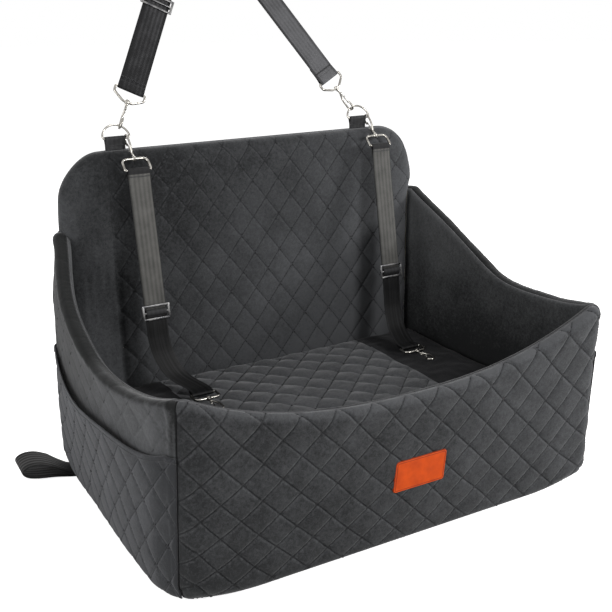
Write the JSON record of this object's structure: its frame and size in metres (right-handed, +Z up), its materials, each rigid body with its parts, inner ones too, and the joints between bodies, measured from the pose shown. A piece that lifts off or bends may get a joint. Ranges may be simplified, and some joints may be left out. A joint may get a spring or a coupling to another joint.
{
  "type": "dog car seat",
  "caption": "Padded dog car seat: soft tub with a quilted cushion and high back, two safety tethers with snap hooks, and a strap for a head restraint.",
  "frame": {"origin": "middle of the underside, where the seat rests", "axes": "+Z up; the low front faces -Y and the backrest stands at +Y; +X is on the right of someone who looks at the front"},
  "size_m": [0.944, 0.7134, 0.9252],
  "materials": {
    "quilted_velvet": "quilted short pile, dark grey",
    "outer_velvet": "short pile, dark grey",
    "lining_velvet": "short pile, near black",
    "foam": "open cell foam, hidden",
    "board": "stiff sheet, hidden",
    "base_cloth": "grippy woven cloth",
    "webbing": "woven strap",
    "patch": "smooth blank patch",
    "nickel": "bright nickel plate"
  },
  "bodies": {
    "tub": {"base_cover": "base_cloth", "base_board": "board", "base_foam": "foam", "seat_cushion": "quilted_velvet", "front_cover": "quilted_velvet", "front_foam": "foam", "front_lining": "lining_velvet", "left_side_cover": "outer_velvet", "left_side_foam": "foam", "left_side_lining": "lining_velvet", "left_side_pocket": "quilted_velvet", "right_side_cover": "outer_velvet", "right_side_foam": "foam", "right_side_lining": "lining_velvet", "right_side_pocket": "quilted_velvet", "backrest_quilt": "quilted_velvet", "back_cover": "outer_velvet", "back_foam": "foam", "front_patch": "patch", "left_ring_tab": "webbing", "right_ring_tab": "webbing", "left_anchor_loop": "webbing", "right_anchor_loop": "webbing"},
    "head_strap": {"headrest_strap": "webbing", "left_headrest_loop": "nickel", "left_headrest_hook": "nickel", "right_headrest_loop": "nickel", "right_headrest_hook": "nickel"},
    "left_d_ring": {"left_d_ring": "nickel"},
    "left_headrest_gate": {"left_headrest_gate": "nickel"},
    "left_tether": {"left_tether": "webbing", "left_upper_loop": "nickel", "left_upper_hook": "nickel", "left_lower_loop": "nickel"},
    "left_upper_gate": {"left_upper_gate": "nickel"},
    "left_lower_hook": {"left_lower_hook": "nickel"},
    "left_lower_gate": {"left_lower_gate": "nickel"},
    "left_slider": {"left_slider": "nickel"},
    "right_d_ring": {"right_d_ring": "nickel"},
    "right_headrest_gate": {"right_headrest_gate": "nickel"},
    "right_tether": {"right_tether": "webbing", "right_upper_loop": "nickel", "right_upper_hook": "nickel", "right_lower_loop": "nickel"},
    "right_upper_gate": {"right_upper_gate": "nickel"},
    "right_lower_hook": {"right_lower_hook": "nickel"},
    "right_lower_gate": {"right_lower_gate": "nickel"},
    "right_slider": {"right_slider": "nickel"},
    "headrest_slider": {"headrest_slider": "nickel"}
  },
  "joints": [
    {"name": "headrest_strap_swing", "type": "hinge", "parent": "tub", "child": "head_strap", "pos_m": [0, 0.2505, 0.564], "axis": [1, 0, 0], "range_deg": [-80, 60]},
    {"name": "left_d_ring_tilt", "type": "hinge", "parent": "tub", "child": "left_d_ring", "pos_m": [-0.24, 0.2505, 0.564], "axis": [1, 0, 0], "range_deg": [-80, 60]},
    {"name": "left_headrest_gate_swing", "type": "hinge", "parent": "head_strap", "child": "left_headrest_gate", "pos_m": [-0.21358, 0.27086, 0.6089], "axis": [0.8813, -0.2116, -0.4225], "range_deg": [0, 14], "stiffness_Nm_per_rad": 0.01, "springref_deg": -11.46},
    {"name": "left_tether_swing", "type": "hinge", "parent": "tub", "child": "left_tether", "pos_m": [-0.2235, 0.2505, 0.564], "axis": [-1, 0, 0], "range_deg": [0, 55]},
    {"name": "left_upper_gate_swing", "type": "hinge", "parent": "left_tether", "child": "left_upper_gate", "pos_m": [-0.2235, 0.22847, 0.54085], "axis": [1, 0, 0], "range_deg": [0, 14], "stiffness_Nm_per_rad": 0.01, "springref_deg": -11.46},
    {"name": "left_lower_hook_swivel", "type": "hinge", "parent": "left_tether", "child": "left_lower_hook", "pos_m": [-0.1795, 0.057, 0.1535], "axis": [0, -1, 0], "continuous": true},
    {"name": "left_lower_gate_swing", "type": "hinge", "parent": "left_lower_hook", "child": "left_lower_gate", "pos_m": [-0.1814, 0.0435, 0.1535], "axis": [0, 0, 1], "range_deg": [0, 14], "stiffness_Nm_per_rad": 0.01, "springref_deg": -11.46},
    {"name": "left_slider_slide", "type": "slide", "parent": "left_tether", "child": "left_slider", "axis": [0, 0.1702, 0.9854], "range_m": [-0.003, 0.15]},
    {"name": "right_d_ring_tilt", "type": "hinge", "parent": "tub", "child": "right_d_ring", "pos_m": [0.24, 0.2505, 0.564], "axis": [1, 0, 0], "range_deg": [-80, 60]},
    {"name": "right_headrest_gate_swing", "type": "hinge", "parent": "head_strap", "child": "right_headrest_gate", "pos_m": [0.21358, 0.27086, 0.6089], "axis": [0.8813, 0.2116, 0.4225], "range_deg": [0, 14], "stiffness_Nm_per_rad": 0.01, "springref_deg": -11.46},
    {"name": "right_tether_swing", "type": "hinge", "parent": "tub", "child": "right_tether", "pos_m": [0.2565, 0.2505, 0.564], "axis": [-1, 0, 0], "range_deg": [0, 55]},
    {"name": "right_upper_gate_swing", "type": "hinge", "parent": "right_tether", "child": "right_upper_gate", "pos_m": [0.2565, 0.22847, 0.54085], "axis": [1, 0, 0], "range_deg": [0, 14], "stiffness_Nm_per_rad": 0.01, "springref_deg": -11.46},
    {"name": "right_lower_hook_swivel", "type": "hinge", "parent": "right_tether", "child": "right_lower_hook", "pos_m": [0.2465, 0.057, 0.1535], "axis": [0, -1, 0], "continuous": true},
    {"name": "right_lower_gate_swing", "type": "hinge", "parent": "right_lower_hook", "child": "right_lower_gate", "pos_m": [0.2446, 0.0435, 0.1535], "axis": [0, 0, 1], "range_deg": [0, 14], "stiffness_Nm_per_rad": 0.01, "springref_deg": -11.46},
    {"name": "right_slider_slide", "type": "slide", "parent": "right_tether", "child": "right_slider", "axis": [0, 0.1702, 0.9854], "range_m": [-0.003, 0.15]},
    {"name": "headrest_slider_slide", "type": "slide", "parent": "head_strap", "child": "headrest_slider", "axis": [0.4726, 0.3946, 0.788], "range_m": [-0.13, 0.008]}
  ],
  "couplings": [
    {"joint": "left_d_ring_tilt", "follows": "headrest_strap_swing", "ratio": 1},
    {"joint": "right_d_ring_tilt", "follows": "headrest_strap_swing", "ratio": 1}
  ]
}
